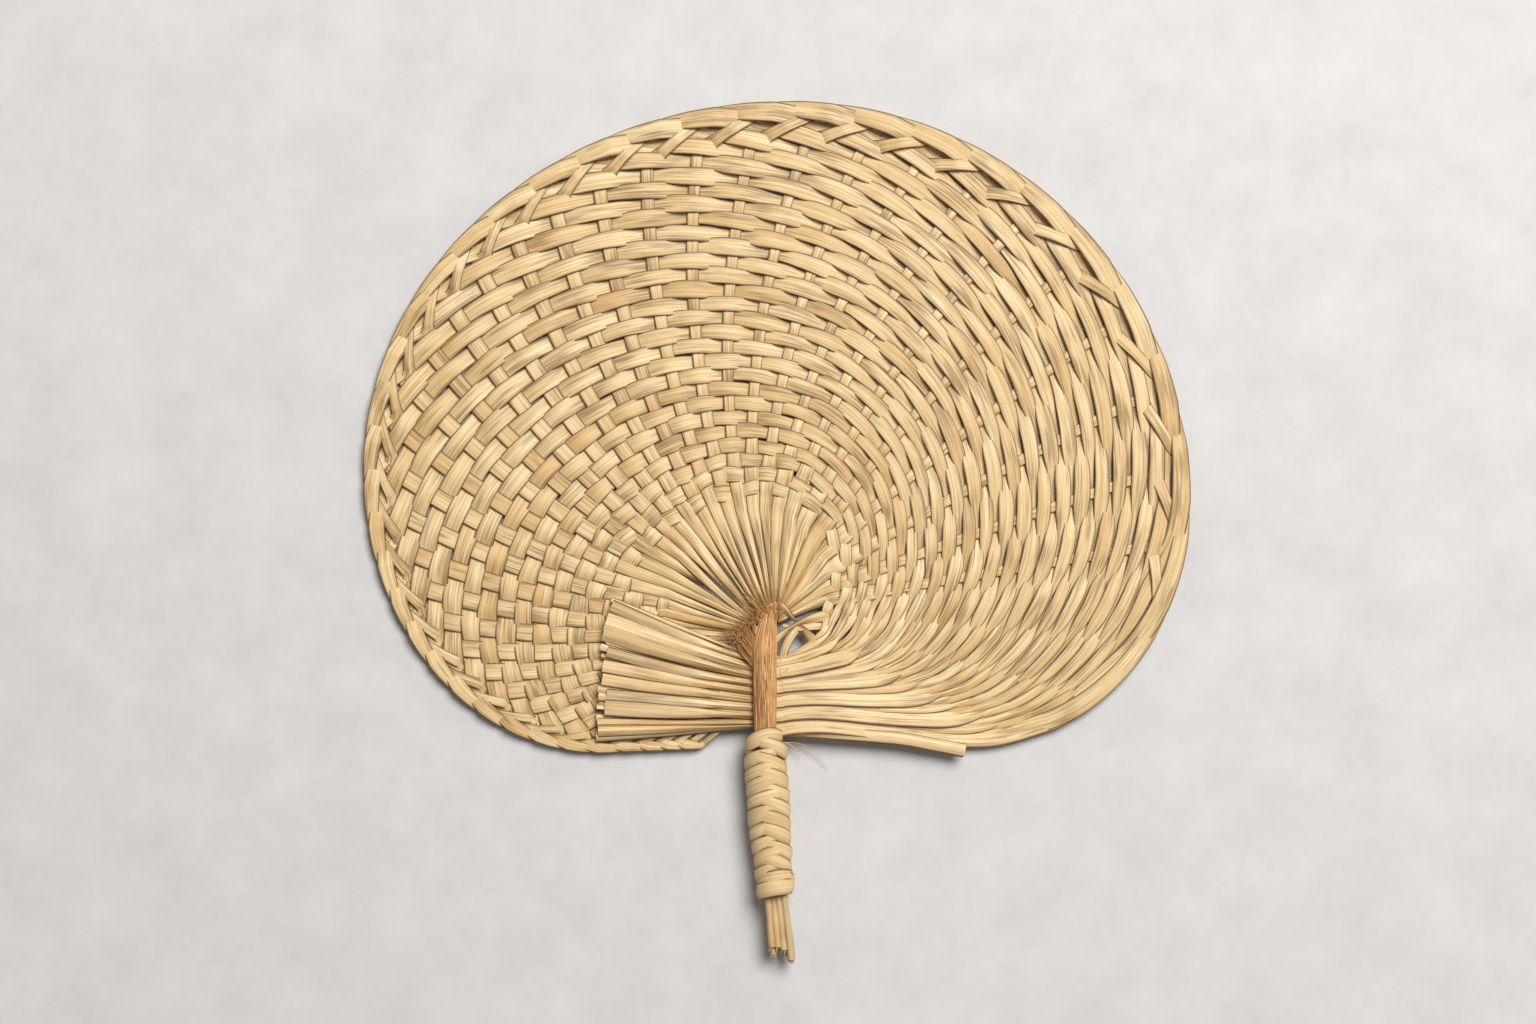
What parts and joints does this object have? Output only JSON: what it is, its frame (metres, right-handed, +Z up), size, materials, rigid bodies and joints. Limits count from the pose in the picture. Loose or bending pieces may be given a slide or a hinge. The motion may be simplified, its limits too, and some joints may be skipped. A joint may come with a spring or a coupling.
{
  "type": "palm leaf fan",
  "caption": "Flat horseshoe-shaped hand fan plaited from the leaflets of one palm leaf, which gather through its split stalk, with cut leaf ends and a wound handle.",
  "frame": {"origin": "on the flat under the middle of the handle's winding, where the fan rests on a table", "axes": "+Y from the handle to the crown of the blade, +Z up out of the fan's front, +X to the right seen from the front"},
  "size_m": [0.3304, 0.3424, 0.0176],
  "materials": {
    "dried_leaf": "dried straw-coloured leaf with fine lengthwise veins, satin",
    "cut_leaf_ends": "dried straw-coloured leaf, folded and cut, satin",
    "split_stalk": "brown fibrous split stalk, matt",
    "wound_leaf": "dried leaf strip wound round the stalk, satin"
  },
  "bodies": {
    "fan": {"leaflet_01": "dried_leaf", "leaflet_02": "dried_leaf", "leaflet_03": "dried_leaf", "leaflet_04": "dried_leaf", "leaflet_05": "dried_leaf", "leaflet_06": "dried_leaf", "leaflet_07": "dried_leaf", "leaflet_08": "dried_leaf", "leaflet_09": "dried_leaf", "leaflet_10": "dried_leaf", "leaflet_11": "dried_leaf", "leaflet_12": "dried_leaf", "leaflet_13": "dried_leaf", "leaflet_14": "dried_leaf", "leaflet_15": "dried_leaf", "leaflet_16": "dried_leaf", "leaflet_17": "dried_leaf", "leaflet_18": "dried_leaf", "leaflet_19": "dried_leaf", "leaflet_20": "dried_leaf", "leaflet_21": "dried_leaf", "leaflet_22": "dried_leaf", "leaflet_23": "dried_leaf", "leaflet_24": "dried_leaf", "leaflet_25": "dried_leaf", "leaflet_26": "dried_leaf", "leaflet_27": "dried_leaf", "leaflet_28": "dried_leaf", "leaflet_29": "dried_leaf", "leaflet_30": "dried_leaf", "leaflet_31": "dried_leaf", "leaflet_32": "dried_leaf", "leaflet_33": "dried_leaf", "leaflet_34": "dried_leaf", "leaflet_35": "dried_leaf", "leaflet_36": "dried_leaf", "leaflet_37": "dried_leaf", "leaflet_38": "dried_leaf", "leaflet_39": "dried_leaf", "leaflet_40": "dried_leaf", "leaf_stalk": "split_stalk", "handle_winding": "wound_leaf", "stalk_fibres": "split_stalk", "gap_strip_1": "dried_leaf", "gap_strip_2": "dried_leaf"},
    "upper_tail": {"leaf_tail_1": "cut_leaf_ends", "leaf_tail_2": "cut_leaf_ends", "leaf_tail_3": "cut_leaf_ends", "leaf_tail_4": "cut_leaf_ends"},
    "lower_tail": {"lower_leaf_tail": "cut_leaf_ends"},
    "loose_end": {"loose_strip": "dried_leaf"}
  },
  "joints": [
    {"name": "upper_tail_lift", "type": "hinge", "parent": "fan", "child": "upper_tail", "pos_m": [-0.00711, 0.05364, 0.01035], "axis": [0, 1, 0], "range_deg": [0, 45], "stiffness_Nm_per_rad": 0.02},
    {"name": "lower_tail_lift", "type": "hinge", "parent": "fan", "child": "lower_tail", "pos_m": [-0.00711, 0.03921, 0.01035], "axis": [0, 1, 0], "range_deg": [0, 45], "stiffness_Nm_per_rad": 0.008},
    {"name": "loose_strip_lift", "type": "hinge", "parent": "fan", "child": "loose_end", "pos_m": [0.0036, 0.03459, 0.01035], "axis": [0, -1, 0], "range_deg": [0, 40], "stiffness_Nm_per_rad": 0.004}
  ]
}
